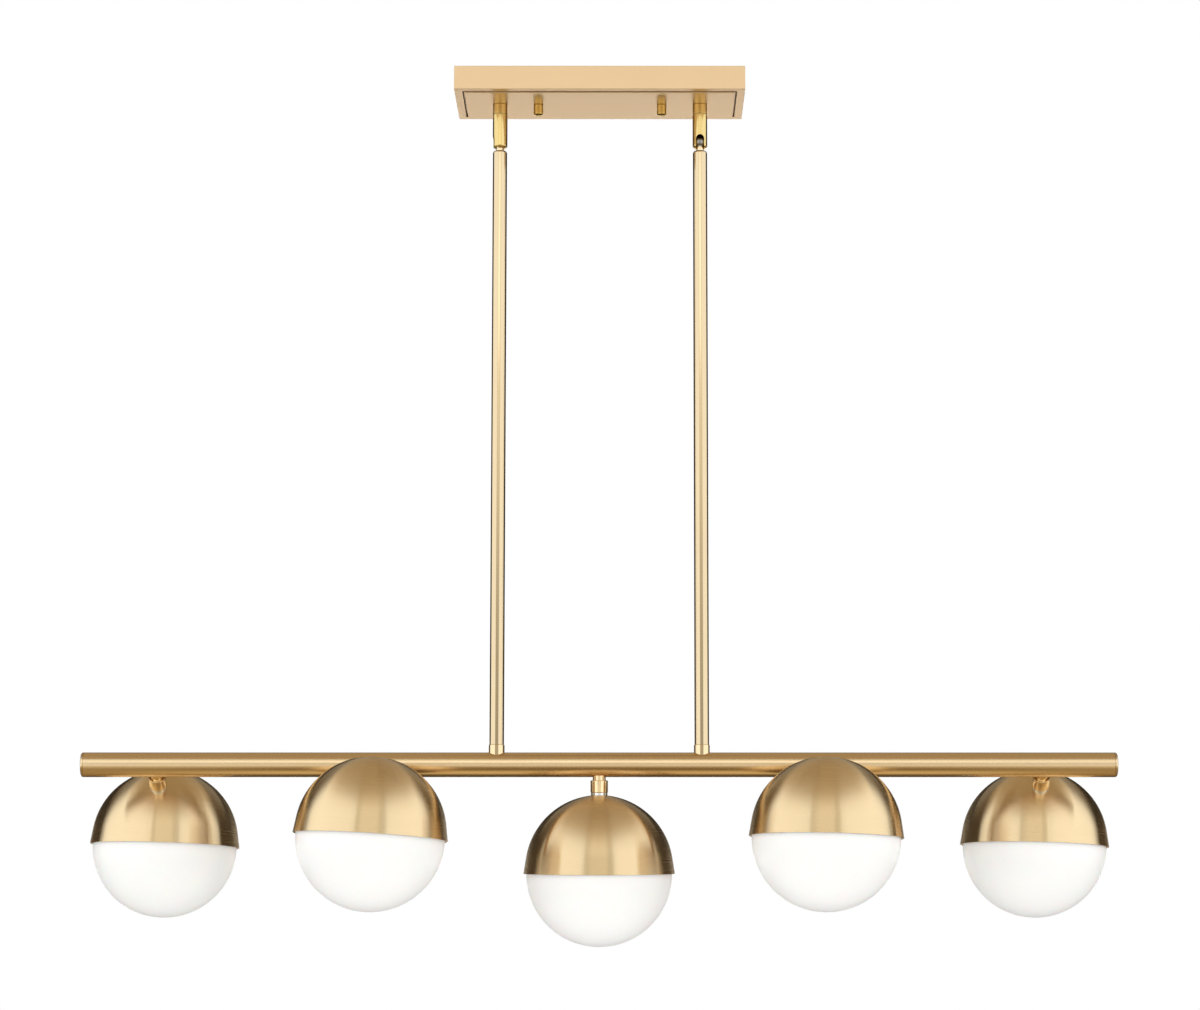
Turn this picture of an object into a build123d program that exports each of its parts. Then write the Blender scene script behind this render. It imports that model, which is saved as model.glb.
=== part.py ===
from build123d import *
import os
from math import asin, cos, degrees, radians, sin, sqrt, tan

# Linear island pendant. Millimetres, +Z up, +X along the bar, -Y to the front.
# The origin lies on the ceiling, at the middle of the mounting strap's two slots.
# Everything hangs below it.

# Ceiling canopy: a pressed sheet pan with a raised panel in its underside
canopy_length = 304.0
canopy_depth = 110.0
canopy_height = 25.0
canopy_wall = 1.2
canopy_edge = 0.6
panel_margin = 10.0
panel_rise = 1.0
panel_edge = 0.4

# Mounting strap inside the canopy, and what is fixed to it
strap_length = 160.0
strap_width = 22.0
strap_thickness = 2.0
slot_spacing = 88.9
slot_length = 14.0
slot_width = 4.8
stud_spacing = 130.6
stud_radius = 2.05
stud_grip = 9.0
stud_locknut_height = 3.0
stud_locknut_flats = 7.0
ground_screw_place = 18.0
ground_screw_radius = 1.6
ground_head_radius = 4.0
ground_head_height = 2.6

# Round blind nuts under the canopy
canopy_nut_radius = 5.05
canopy_nut_height = 11.5
canopy_nut_round = 0.8

# Swivels: a fixed collar, a cup that turns on it, and a ball with its neck
rod_spacing = 211.6
swivel_radius = 7.75
swivel_collar_height = 10.5
swivel_seam = 0.3
cup_length = 36.2
cup_bore_radius = 6.0
cup_round = 2.4
spigot_length = 8.0
nipple_radius = 4.85
nipple_end = 2.0
lead_bore_radius = 2.4
ball_radius = 5.75
ball_height = 6.5
neck_radius = 3.8
neck_gap = 3.3
neck_thread = 12.0
cup_slot_width = 8.6
cup_slot_height = 13.4
left_slot_turn = -80.0
right_slot_turn = 0.0
swing_limit = 10.0
swivel_washer_radius = 9.0
swivel_washer_thickness = 1.0
swivel_locknut_height = 4.0
swivel_locknut_flats = 14.0

# Down rods and the collars that join them to the bar
rod_radius = 7.5
rod_bore_radius = 4.5
rod_round = 2.6
rod_spigot_radius = 6.0
rod_spigot_length = 6.0
rod_collar_radius = 8.15
rod_collar_height = 7.8
rod_collar_edge = 0.4

# The bar
bar_drop = 727.0
bar_length = 1066.8
bar_radius = 12.7
bar_wall = 1.5
cap_thickness = 3.1
cap_round = 1.8
cap_seam = 0.4
cap_spigot = 8.0

# The five arms: spacing along the bar, each arm's lean from straight down, and how far
# each dome is turned on its arm
globe_spacing = 228.6
side_arm_angle = 46.0
centre_lean = 3.8
dome_turns = {1: 2.2, 2: -4.6, 3: 0.0, 4: -1.8, 5: 2.2}
arm_neck_radius = 6.75
arm_neck_length = 3.4
arm_thread_radius = 4.85
arm_bore_radius = 3.2
arm_tail = 2.0
arm_collar_radius = 9.0
arm_collar_length = 12.75
arm_collar_edge = 0.8
arm_washer_radius = 8.6
arm_washer_thickness = 2.25
arm_locknut_height = 4.0
arm_locknut_flats = 14.0

# Spun domes: a sphere's upper part that runs on straight below the flare's start, down to
# the rim, so that the rim is a little wider. Three tabs inside
dome_radius = 76.2
dome_wall = 1.2
flare_start = 12.0
skirt_length = 4.65
rim_edge = 0.5
tab_width = 16.0
tab_reach = 2.9
tab_thickness = 1.2
tab_drop = 1.3

# Opal glass bowls, and the ring with three lugs on each one's neck
glass_radius = 74.9
glass_wall = 3.0
glass_lip = 0.7
glass_shoulder = 0.8
glass_neck_inset = 3.5
glass_neck_top = 2.6
ring_wall = 0.8
ring_length = 5.1
lug_width = 14.0
lug_thickness = 1.0

# Lamp brackets, ceramic holders and two-pin lamps
bracket_reach = 9.2
bracket_width = 14.0
bracket_thickness = 1.5
holder_radius = 11.0
holder_height = 18.0
holder_edge = 1.0
pin_spacing = 9.0
pin_radius = 1.3
pin_length = 10.0
lamp_radius = 8.0
lamp_length = 46.0
holder_screw_radius = 1.4
holder_screw_length = 6.0
holder_head_radius = 2.8
holder_head_height = 1.8

# Clearances: round a thread or a fixed pin, in a running fit, and between faces that slide
thread_clearance = 0.05
running_clearance = 0.08
face_clearance = 0.1
hole_clearance = 0.35

# Places that follow from the sizes above
panel_z = -(canopy_height + panel_rise)
canopy_floor_z = panel_z + canopy_wall
cup_top_z = panel_z - swivel_collar_height - swivel_seam
cup_bottom_z = cup_top_z - cup_length
ball_z = cup_bottom_z + ball_height
rod_top_z = cup_bottom_z - neck_gap
bar_top_z = -bar_drop + bar_radius
rod_bottom_z = bar_top_z + rod_collar_height
bar_tube_length = bar_length - 2 * cap_thickness
bar_inner_radius = bar_radius - bar_wall

arm_collar_start = bar_radius + arm_neck_length
arm_washer_start = arm_collar_start + arm_collar_length
arm_reach = arm_washer_start + arm_washer_thickness + dome_radius
dome_inner_radius = dome_radius - dome_wall
bracket_face = sqrt(dome_inner_radius**2 - bracket_reach**2 - (bracket_width / 2) ** 2) - thread_clearance
arm_locknut_start = arm_reach - bracket_face + bracket_thickness
arm_end = arm_locknut_start + arm_locknut_height + arm_tail
arm_hole_radius = arm_thread_radius + thread_clearance

lamp_plate_z = bracket_face * cos(radians(side_arm_angle)) + bracket_reach * sin(radians(side_arm_angle))
holder_top_z = lamp_plate_z - bracket_thickness
holder_bottom_z = holder_top_z - holder_height

flare_angle = asin(flare_start / dome_radius)


def flared(radius, height):
    """How wide the dome's straight part is at a height, where its sphere has this radius."""
    return (radius - height * sin(flare_angle)) / cos(flare_angle)


tab_top_z = -tab_drop
tab_root_radius = flared(dome_inner_radius, tab_top_z)
tab_inner_radius = tab_root_radius - tab_reach
lug_bottom_z = tab_top_z + face_clearance
lug_room_radius = flared(dome_inner_radius, lug_bottom_z + lug_thickness)
glass_neck_radius = glass_radius - glass_neck_inset
ring_inner_radius = glass_neck_radius + thread_clearance
ring_outer_radius = ring_inner_radius + ring_wall
lug_outer_radius = sqrt((lug_room_radius - hole_clearance) ** 2 - (lug_width / 2) ** 2)

swivel_sides = {"left": -rod_spacing / 2, "right": rod_spacing / 2}
slot_turns = {"left": left_slot_turn, "right": right_slot_turn}
stud_sides = {"left": -stud_spacing / 2, "right": stud_spacing / 2}

# Arms 1 and 5 go to the back, 2 and 4 to the front, and 3 hangs down with its small lean
arm_angles = {
    1: side_arm_angle,
    2: -side_arm_angle,
    3: centre_lean,
    4: -side_arm_angle,
    5: side_arm_angle,
}


def write(part, name):
    part.label = name
    export_step(part, f"parts/{name}.step")


def level(x, y, z):
    """A level plane, facing up, at a point."""
    return Plane(origin=(x, y, z), x_dir=(1, 0, 0), z_dir=(0, 0, 1))


def arm_plane(number):
    """An arm's plane: on the bar's axis, facing along the arm towards its dome."""
    lean = radians(arm_angles[number])
    place = (globe_place(number), 0, -bar_drop)
    return Plane(origin=place, x_dir=(1, 0, 0), z_dir=(0, sin(lean), -cos(lean)))


def globe_place(number):
    return (number - 3) * globe_spacing


def globe_plane(number):
    """A globe's plane: at its dome's centre, facing up the dome's axis."""
    arm = arm_plane(number)
    arm_axis = Axis(arm.origin, arm.z_dir)
    upright = -arm.z_dir if number == 3 else Vector(0, 0, 1)
    return Plane(
        origin=arm.origin + arm.z_dir * arm_reach,
        x_dir=arm.x_dir.rotate(arm_axis, dome_turns[number]),
        z_dir=upright.rotate(arm_axis, dome_turns[number]),
    )


def tilt_in_dome(number):
    """Angle between a dome's axis and its arm, positive where the arm enters from the front."""
    return 0.0 if number == 3 else arm_angles[number]


def hexagon_nut(plane, flats, height, bore):
    with BuildPart() as nut:
        with BuildSketch(plane):
            RegularPolygon(flats / 2, 6, major_radius=False)
            Circle(bore, mode=Mode.SUBTRACT)
        extrude(amount=height)
    return nut.part


def washer(plane, radius, thickness, bore):
    with BuildPart() as disc:
        with BuildSketch(plane):
            Circle(radius)
            Circle(bore, mode=Mode.SUBTRACT)
        extrude(amount=thickness)
    return disc.part


os.makedirs("parts", exist_ok=True)

# ---- canopy ----
with BuildPart() as canopy:
    with BuildSketch():
        Rectangle(canopy_length, canopy_depth)
    extrude(amount=-canopy_height)
    fillet(canopy.edges().filter_by(Axis.Z), radius=canopy_edge)
    fillet(canopy.faces().sort_by(Axis.Z)[0].edges(), radius=canopy_edge)
    with BuildSketch(Plane.XY.offset(-canopy_height)):
        Rectangle(canopy_length - 2 * panel_margin, canopy_depth - 2 * panel_margin)
    extrude(amount=-panel_rise)
    fillet(canopy.faces().sort_by(Axis.Z)[0].edges(), radius=panel_edge)
    with BuildSketch():
        Rectangle(canopy_length - 2 * canopy_wall, canopy_depth - 2 * canopy_wall)
    extrude(amount=-(canopy_height - canopy_wall), mode=Mode.SUBTRACT)
    with BuildSketch():
        Rectangle(
            canopy_length - 2 * panel_margin - 2 * canopy_wall,
            canopy_depth - 2 * panel_margin - 2 * canopy_wall,
        )
    extrude(amount=canopy_floor_z, mode=Mode.SUBTRACT)
    with Locations(*[(x, 0, 0) for x in swivel_sides.values()]):
        Hole(nipple_radius + thread_clearance, depth=2 * canopy_height)
    with Locations(*[(x, 0, 0) for x in stud_sides.values()]):
        Hole(stud_radius + hole_clearance, depth=2 * canopy_height)
write(canopy.part, "canopy")

# ---- mounting strap, its studs, their locknuts and the ground screw ----
with BuildPart() as mounting_strap:
    with BuildSketch():
        RectangleRounded(strap_length, strap_width, strap_width / 4)
        with Locations((-slot_spacing / 2, 0), (slot_spacing / 2, 0)):
            SlotOverall(slot_length, slot_width, mode=Mode.SUBTRACT)
        with Locations(*[(x, 0) for x in stud_sides.values()]):
            Circle(stud_radius + thread_clearance, mode=Mode.SUBTRACT)
        with Locations((ground_screw_place, 0)):
            Circle(ground_screw_radius + thread_clearance, mode=Mode.SUBTRACT)
    extrude(amount=-strap_thickness)
write(mounting_strap.part, "mounting_strap")

with BuildPart() as strap_studs:
    with BuildSketch(Plane.XY.offset(-thread_clearance)):
        with Locations(*[(x, 0) for x in stud_sides.values()]):
            Circle(stud_radius)
    extrude(amount=panel_z - stud_grip + thread_clearance)
write(strap_studs.part, "strap_studs")

stud_locknuts = Compound(
    children=[
        hexagon_nut(
            level(x, 0, -strap_thickness - stud_locknut_height),
            stud_locknut_flats,
            stud_locknut_height,
            stud_radius + thread_clearance,
        )
        for x in stud_sides.values()
    ]
)
write(stud_locknuts, "stud_locknuts")

with BuildPart() as ground_screw:
    with BuildSketch(level(ground_screw_place, 0, -thread_clearance)):
        Circle(ground_screw_radius)
    extrude(amount=-(strap_thickness - thread_clearance))
    with BuildSketch(level(ground_screw_place, 0, -strap_thickness)):
        RegularPolygon(ground_head_radius, 6)
    extrude(amount=-ground_head_height)
write(ground_screw.part, "ground_screw")

# ---- canopy nuts, each on its stud ----
for side, x in stud_sides.items():
    with BuildPart() as canopy_nut:
        with BuildSketch(level(x, 0, panel_z - face_clearance)):
            Circle(canopy_nut_radius)
        extrude(amount=-canopy_nut_height)
        fillet(canopy_nut.edges().sort_by(Axis.Z)[0], radius=canopy_nut_round)
        with BuildSketch(level(x, 0, panel_z - face_clearance)):
            Circle(stud_radius + running_clearance)
        extrude(amount=-stud_grip, mode=Mode.SUBTRACT)
    write(canopy_nut.part, f"canopy_nut_{side}")

# ---- swivels, rods and rod collars ----
seat_radius = ball_radius + running_clearance
mouth_slope = tan(radians(swing_limit))
mouth_reach = (neck_radius + face_clearance) / cos(radians(swing_limit))
seat_depth = ball_radius / 2
mouth_depth = 2 * ball_height

for side, x in swivel_sides.items():
    with BuildPart() as swivel_collar:
        with BuildSketch(level(x, 0, panel_z)):
            Circle(swivel_radius)
        extrude(amount=-swivel_collar_height)
        with BuildSketch(level(x, 0, panel_z)):
            Circle(nipple_radius)
        nipple_length = canopy_wall + swivel_washer_thickness + swivel_locknut_height + nipple_end
        extrude(amount=nipple_length)
        with BuildSketch(level(x, 0, panel_z - swivel_collar_height)):
            Circle(cup_bore_radius - running_clearance)
        extrude(amount=-spigot_length)
        with Locations((x, 0, panel_z)):
            Hole(lead_bore_radius)
    write(swivel_collar.part, f"swivel_collar_{side}")

    with BuildPart() as swivel_cup:
        with BuildSketch(level(x, 0, cup_top_z)):
            Circle(swivel_radius)
        extrude(amount=-cup_length)
        fillet(swivel_cup.edges().sort_by(Axis.Z)[0], radius=cup_round)
        with BuildSketch(level(x, 0, cup_top_z)):
            Circle(cup_bore_radius)
        extrude(amount=ball_z - cup_top_z, mode=Mode.SUBTRACT)
        with Locations((x, 0, ball_z)):
            Sphere(seat_radius, mode=Mode.SUBTRACT)
        with BuildSketch(Plane(origin=(x, 0, ball_z), x_dir=(1, 0, 0), z_dir=(0, -1, 0))):
            with BuildLine():
                Polyline(
                    (0, -seat_depth),
                    (mouth_reach + seat_depth * mouth_slope, -seat_depth),
                    (mouth_reach + mouth_depth * mouth_slope, -mouth_depth),
                    (0, -mouth_depth),
                    close=True,
                )
            make_face()
        revolve(axis=Axis((x, 0, 0), (0, 0, 1)), mode=Mode.SUBTRACT)
        turn = radians(slot_turns[side])
        facing = (sin(turn), -cos(turn), 0)
        across = (cos(turn), sin(turn), 0)
        arch_height = cup_slot_height - cup_slot_width / 2
        with BuildSketch(Plane(origin=(x, 0, cup_bottom_z), x_dir=across, z_dir=facing)):
            with Locations((0, (arch_height - cup_round) / 2)):
                Rectangle(cup_slot_width, arch_height + cup_round)
            with Locations((0, arch_height)):
                Circle(cup_slot_width / 2)
        extrude(amount=2 * swivel_radius, mode=Mode.SUBTRACT)
    write(swivel_cup.part, f"swivel_cup_{side}")

    with BuildPart() as swivel_ball:
        with Locations((x, 0, ball_z)):
            Sphere(ball_radius)
        with BuildSketch(level(x, 0, ball_z)):
            Circle(neck_radius)
        extrude(amount=rod_top_z - neck_thread - ball_z)
        with Locations((x, 0, ball_z)):
            Hole(lead_bore_radius)
    write(swivel_ball.part, f"swivel_ball_{side}")

    with BuildPart() as rod:
        with BuildSketch(level(x, 0, rod_top_z)):
            Circle(rod_radius)
        extrude(amount=rod_bottom_z - rod_top_z)
        fillet(rod.edges().sort_by(Axis.Z)[-1], radius=rod_round)
        with BuildSketch(level(x, 0, rod_bottom_z)):
            Circle(rod_spigot_radius)
        extrude(amount=-rod_spigot_length)
        with BuildSketch(level(x, 0, rod_top_z)):
            Circle(neck_radius + thread_clearance)
        extrude(amount=-neck_thread, mode=Mode.SUBTRACT)
        with BuildSketch(level(x, 0, rod_top_z - neck_thread)):
            Circle(rod_bore_radius)
        extrude(amount=rod_bottom_z - rod_spigot_length - rod_top_z + neck_thread, mode=Mode.SUBTRACT)
    write(rod.part, f"rod_{side}")

    with BuildPart() as rod_collar:
        with BuildSketch(level(x, 0, rod_bottom_z)):
            Circle(rod_collar_radius)
        extrude(amount=-(rod_collar_height + bar_radius))
        fillet(rod_collar.edges().sort_by(Axis.Z)[-1], radius=rod_collar_edge)
        with Locations((x, 0, -bar_drop)):
            Cylinder(bar_radius, 4 * rod_collar_radius, rotation=(0, 90, 0), mode=Mode.SUBTRACT)
        with BuildSketch(level(x, 0, rod_bottom_z)):
            Circle(rod_spigot_radius + thread_clearance)
        extrude(amount=-rod_spigot_length - thread_clearance, mode=Mode.SUBTRACT)
        with BuildSketch(level(x, 0, rod_bottom_z)):
            Circle(rod_bore_radius)
        extrude(amount=-(rod_collar_height + bar_radius), mode=Mode.SUBTRACT)
    write(rod_collar.part, f"rod_collar_{side}")

swivel_washers = Compound(
    children=[
        washer(
            level(x, 0, canopy_floor_z),
            swivel_washer_radius,
            swivel_washer_thickness,
            nipple_radius + thread_clearance,
        )
        for x in swivel_sides.values()
    ]
)
write(swivel_washers, "swivel_washers")

swivel_locknuts = Compound(
    children=[
        hexagon_nut(
            level(x, 0, canopy_floor_z + swivel_washer_thickness),
            swivel_locknut_flats,
            swivel_locknut_height,
            nipple_radius + thread_clearance,
        )
        for x in swivel_sides.values()
    ]
)
write(swivel_locknuts, "swivel_locknuts")

# ---- bar and end caps ----
with BuildPart() as bar_tube:
    with BuildSketch(Plane(origin=(-bar_tube_length / 2, 0, -bar_drop), x_dir=(0, 1, 0), z_dir=(1, 0, 0))):
        Circle(bar_radius)
        Circle(bar_inner_radius, mode=Mode.SUBTRACT)
    extrude(amount=bar_tube_length)
    for x in swivel_sides.values():
        with BuildSketch(level(x, 0, -bar_drop)):
            Circle(rod_bore_radius)
        extrude(amount=2 * bar_radius, mode=Mode.SUBTRACT)
    for number in arm_angles:
        with BuildSketch(arm_plane(number)):
            Circle(arm_hole_radius)
        extrude(amount=2 * bar_radius, mode=Mode.SUBTRACT)
write(bar_tube.part, "bar_tube")

for side, way in {"left": -1, "right": 1}.items():
    seat = Plane(origin=(way * bar_tube_length / 2, 0, -bar_drop), x_dir=(0, way, 0), z_dir=(way, 0, 0))
    with BuildPart() as end_cap:
        with BuildSketch(seat):
            Circle(bar_radius)
        extrude(amount=cap_thickness)
        outwards = Axis(seat.origin, seat.z_dir)
        fillet(end_cap.edges().sort_by(outwards)[-1], radius=cap_round)
        chamfer(end_cap.edges().sort_by(outwards)[0], length=cap_seam)
        with BuildSketch(seat):
            Circle(bar_inner_radius - thread_clearance)
        extrude(amount=-cap_spigot)
    write(end_cap.part, f"end_cap_{side}")

# ---- arms ----
arm_tube_parts = []
arm_washer_parts = []
arm_locknut_parts = []
for number in arm_angles:
    base = arm_plane(number)

    with BuildPart() as arm_tube:
        with BuildSketch(base):
            Circle(arm_neck_radius)
        extrude(amount=arm_collar_start)
        with Locations((globe_place(number), 0, -bar_drop)):
            Cylinder(bar_radius, 4 * arm_neck_radius, rotation=(0, 90, 0), mode=Mode.SUBTRACT)
        with BuildSketch(base.offset(bar_inner_radius - bar_wall)):
            Circle(arm_thread_radius)
        extrude(amount=arm_end - bar_inner_radius + bar_wall)
        with BuildSketch(base):
            Circle(arm_bore_radius)
        extrude(amount=arm_reach, mode=Mode.SUBTRACT)
    arm_tube_parts.append(arm_tube.part)

    with BuildPart() as arm_collar:
        with BuildSketch(base.offset(arm_collar_start)):
            Circle(arm_collar_radius)
        extrude(amount=arm_collar_length)
        chamfer(arm_collar.edges().filter_by(GeomType.CIRCLE), length=arm_collar_edge)
        with BuildSketch(base.offset(arm_collar_start)):
            Circle(arm_hole_radius)
        extrude(amount=arm_collar_length, mode=Mode.SUBTRACT)
    write(arm_collar.part, f"arm_collar_{number}")

    globe = globe_plane(number)
    with BuildPart() as arm_washer:
        with BuildSketch(base.offset(arm_washer_start)):
            Circle(arm_washer_radius)
            Circle(arm_hole_radius, mode=Mode.SUBTRACT)
        extrude(amount=2 * arm_washer_thickness)
        with Locations(globe.origin):
            Sphere(dome_radius, mode=Mode.SUBTRACT)
    arm_washer_parts.append(arm_washer.part)

    arm_locknut_parts.append(
        hexagon_nut(base.offset(arm_locknut_start), arm_locknut_flats, arm_locknut_height, arm_hole_radius)
    )

write(Compound(children=arm_tube_parts), "arm_tubes")
write(Compound(children=arm_washer_parts), "arm_washers")
write(Compound(children=arm_locknut_parts), "arm_locknuts")


# ---- globes ----
def section_plane(globe):
    """The plane through a globe's axis that its profiles are drawn on: x outwards, y up."""
    return Plane(origin=globe.origin, x_dir=globe.x_dir, z_dir=globe.x_dir.cross(globe.z_dir))


def bracket_outline(tilt):
    """Bent strip from the arm's nut to the plate over the lamp, as points from the globe's centre."""
    inner_face = bracket_face - bracket_thickness
    if tilt == 0:
        return [
            (-bracket_reach, bracket_face),
            (bracket_reach, bracket_face),
            (bracket_reach, lamp_plate_z - bracket_thickness),
            (-bracket_reach, lamp_plate_z - bracket_thickness),
            (-bracket_reach, lamp_plate_z),
            (bracket_reach - bracket_thickness, lamp_plate_z),
            (bracket_reach - bracket_thickness, inner_face),
            (-bracket_reach, inner_face),
        ]
    lean = radians(abs(tilt))
    way = 1 if tilt > 0 else -1

    def leg_end(face):
        return (face * sin(lean) + bracket_reach * cos(lean), face * cos(lean) - bracket_reach * sin(lean))

    def bend(face, plate):
        return ((face - plate * cos(lean)) / sin(lean), plate)

    outline = [
        leg_end(bracket_face),
        bend(bracket_face, lamp_plate_z),
        (-bracket_reach, lamp_plate_z),
        (-bracket_reach, lamp_plate_z - bracket_thickness),
        bend(inner_face, lamp_plate_z - bracket_thickness),
        leg_end(inner_face),
    ]
    return [(way * y, z) for y, z in outline]


lamp_bracket_parts = []
holder_screw_parts = []
for number in arm_angles:
    globe = globe_plane(number)
    section = section_plane(globe)
    dome_axis = Axis(globe.origin, globe.z_dir)

    with BuildPart() as dome:
        with BuildSketch(section):
            with BuildLine():
                CenterArc((0, 0), dome_radius, degrees(flare_angle), 90 - degrees(flare_angle))
                Line((0, dome_radius), (0, dome_inner_radius))
                CenterArc((0, 0), dome_inner_radius, degrees(flare_angle), 90 - degrees(flare_angle))
                Polyline(
                    (dome_inner_radius * cos(flare_angle), dome_inner_radius * sin(flare_angle)),
                    (flared(dome_inner_radius, -skirt_length), -skirt_length),
                    (flared(dome_radius, -skirt_length) - rim_edge, -skirt_length),
                    (flared(dome_radius, rim_edge - skirt_length), rim_edge - skirt_length),
                    (dome_radius * cos(flare_angle), dome_radius * sin(flare_angle)),
                )
            make_face()
        revolve(axis=dome_axis)
        with BuildSketch(arm_plane(number)):
            Circle(arm_hole_radius)
        extrude(amount=arm_end, mode=Mode.SUBTRACT)
        with BuildSketch(globe.offset(tab_top_z - tab_thickness)):
            with PolarLocations((tab_inner_radius + tab_root_radius + dome_wall / 2) / 2, 3):
                Rectangle(tab_reach + dome_wall / 2, tab_width)
        extrude(amount=tab_thickness)
    write(dome.part, f"dome_{number}")

    neck_bottom = -skirt_length + glass_lip + glass_shoulder
    glass_inner = glass_radius - glass_wall
    neck_inner = glass_neck_radius - glass_wall
    bend_angle = degrees(asin(glass_neck_inset / glass_inner))
    bend = (glass_inner * cos(radians(bend_angle)), -skirt_length - glass_neck_inset)
    with BuildPart() as glass:
        with BuildSketch(section):
            with BuildLine():
                CenterArc((0, -skirt_length), glass_radius, -90, 90)
                Polyline(
                    (glass_radius, -skirt_length),
                    (glass_radius, -skirt_length + glass_lip),
                    (glass_neck_radius, neck_bottom),
                    (glass_neck_radius, glass_neck_top),
                    (neck_inner, glass_neck_top),
                    (neck_inner, -skirt_length),
                    bend,
                )
                CenterArc((0, -skirt_length), glass_inner, -90, 90 - bend_angle)
                Line((0, -skirt_length - glass_inner), (0, -skirt_length - glass_radius))
            make_face()
        revolve(axis=dome_axis)
    write(glass.part, f"glass_{number}")

    with BuildPart() as glass_ring:
        with BuildSketch(globe.offset(glass_neck_top - ring_length)):
            Circle(ring_outer_radius)
            Circle(ring_inner_radius, mode=Mode.SUBTRACT)
        extrude(amount=ring_length)
        with BuildSketch(globe.offset(lug_bottom_z)):
            with PolarLocations((ring_inner_radius + ring_wall / 2 + lug_outer_radius) / 2, 3):
                Rectangle(lug_outer_radius - ring_inner_radius - ring_wall / 2, lug_width)
        extrude(amount=lug_thickness)
    write(glass_ring.part, f"glass_ring_{number}")

    # The bracket's outline is drawn across the bar, with its points' y towards the front
    across = Plane(origin=globe.origin, x_dir=globe.z_dir.cross(globe.x_dir) * -1, z_dir=globe.x_dir * -1)
    with BuildPart() as lamp_bracket:
        with BuildSketch(across):
            with BuildLine():
                Polyline(*bracket_outline(tilt_in_dome(number)), close=True)
            make_face()
        extrude(amount=bracket_width / 2, both=True)
        with BuildSketch(arm_plane(number)):
            Circle(arm_hole_radius)
        extrude(amount=arm_end, mode=Mode.SUBTRACT)
        with BuildSketch(globe.offset(lamp_plate_z - bracket_thickness)):
            Circle(holder_screw_radius + thread_clearance)
        extrude(amount=bracket_thickness, mode=Mode.SUBTRACT)
    lamp_bracket_parts.append(lamp_bracket.part)

    with BuildPart() as holder_screw:
        with BuildSketch(globe.offset(lamp_plate_z)):
            Circle(holder_head_radius)
        extrude(amount=holder_head_height)
        with BuildSketch(globe.offset(lamp_plate_z)):
            Circle(holder_screw_radius)
        extrude(amount=-holder_screw_length)
    holder_screw_parts.append(holder_screw.part)

    with BuildPart() as lamp_holder:
        with BuildSketch(globe.offset(holder_bottom_z)):
            Circle(holder_radius)
        extrude(amount=holder_height)
        fillet(lamp_holder.edges().sort_by(Axis(globe.origin, globe.z_dir))[0], radius=holder_edge)
        with BuildSketch(globe.offset(holder_bottom_z)):
            with Locations((-pin_spacing / 2, 0), (pin_spacing / 2, 0)):
                Circle(pin_radius + thread_clearance)
        extrude(amount=pin_length, mode=Mode.SUBTRACT)
        with BuildSketch(globe.offset(holder_top_z)):
            Circle(holder_screw_radius + thread_clearance)
        extrude(amount=-holder_screw_length, mode=Mode.SUBTRACT)
    write(lamp_holder.part, f"lamp_holder_{number}")

    with BuildPart() as lamp:
        with BuildSketch(globe.offset(holder_bottom_z - face_clearance)):
            Circle(lamp_radius)
        extrude(amount=-(lamp_length - lamp_radius))
        with Locations(globe.offset(holder_bottom_z - face_clearance - lamp_length + lamp_radius)):
            Sphere(lamp_radius)
        with BuildSketch(globe.offset(holder_bottom_z - face_clearance)):
            with Locations((-pin_spacing / 2, 0), (pin_spacing / 2, 0)):
                Circle(pin_radius)
        extrude(amount=pin_length)
    write(lamp.part, f"lamp_{number}")

write(Compound(children=lamp_bracket_parts), "lamp_brackets")
write(Compound(children=holder_screw_parts), "holder_screws")
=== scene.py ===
from math import asin, atan2, cos, pi, radians, sin, sqrt

import bpy
from mathutils import Matrix, Vector


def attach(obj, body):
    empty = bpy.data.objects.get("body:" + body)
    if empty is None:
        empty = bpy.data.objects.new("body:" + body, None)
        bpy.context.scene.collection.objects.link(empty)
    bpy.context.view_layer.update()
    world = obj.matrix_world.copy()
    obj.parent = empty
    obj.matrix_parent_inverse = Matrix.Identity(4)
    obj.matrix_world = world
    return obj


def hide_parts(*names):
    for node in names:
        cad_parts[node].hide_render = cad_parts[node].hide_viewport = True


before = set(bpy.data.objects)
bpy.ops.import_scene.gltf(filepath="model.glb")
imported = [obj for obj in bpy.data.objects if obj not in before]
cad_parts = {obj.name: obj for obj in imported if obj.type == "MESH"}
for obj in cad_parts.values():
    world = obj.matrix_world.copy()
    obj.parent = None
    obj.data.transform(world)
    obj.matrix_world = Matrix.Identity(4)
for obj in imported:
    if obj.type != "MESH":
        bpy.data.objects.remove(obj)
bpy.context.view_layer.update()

# Ceiling canopy: a pressed brass pan, open at the back, with a raised panel in its underside
# and a narrow groove round the panel, darkened with painted shade. Its sheet is finely brushed lengthwise
# and lacquered.
canopy_length = 0.304
canopy_width = 0.110
canopy_depth = 0.025
canopy_wall = 0.0012
canopy_edge = 0.00045
panel_margin = 0.010
panel_rise = 0.001
groove_width = 0.0018
groove_depth = 0.0022
groove_slope = 0.0003
# Painted shade: the dark brown mixed into the brass inside the groove round the panel.
groove_painted_shade = (0.16, 0.095, 0.045)
cloud_scale = 14.0
cloud_dark = 0.955
cloud_light = 1.03
line_height = 0.0001


def fresh_start():
    """Deselects everything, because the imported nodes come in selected."""
    bpy.ops.object.select_all(action="DESELECT")


def take(piece):
    """Makes this piece the only one that the next operators act on."""
    fresh_start()
    bpy.context.view_layer.objects.active = piece
    piece.select_set(True)


def pick_faces(piece, chosen):
    """Leaves the piece in edit mode with only its chosen faces selected."""
    bpy.ops.object.mode_set(mode="EDIT")
    bpy.ops.mesh.select_all(action="DESELECT")
    bpy.ops.object.mode_set(mode="OBJECT")
    for face in piece.data.polygons:
        face.select = chosen(face)
    bpy.ops.object.mode_set(mode="EDIT")


def smooth_between_edges(piece, angle=40.0):
    """Shades the piece smooth, but for the edges that turn by more than this angle."""
    take(piece)
    bpy.ops.object.shade_smooth_by_angle(angle=radians(angle))


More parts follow.
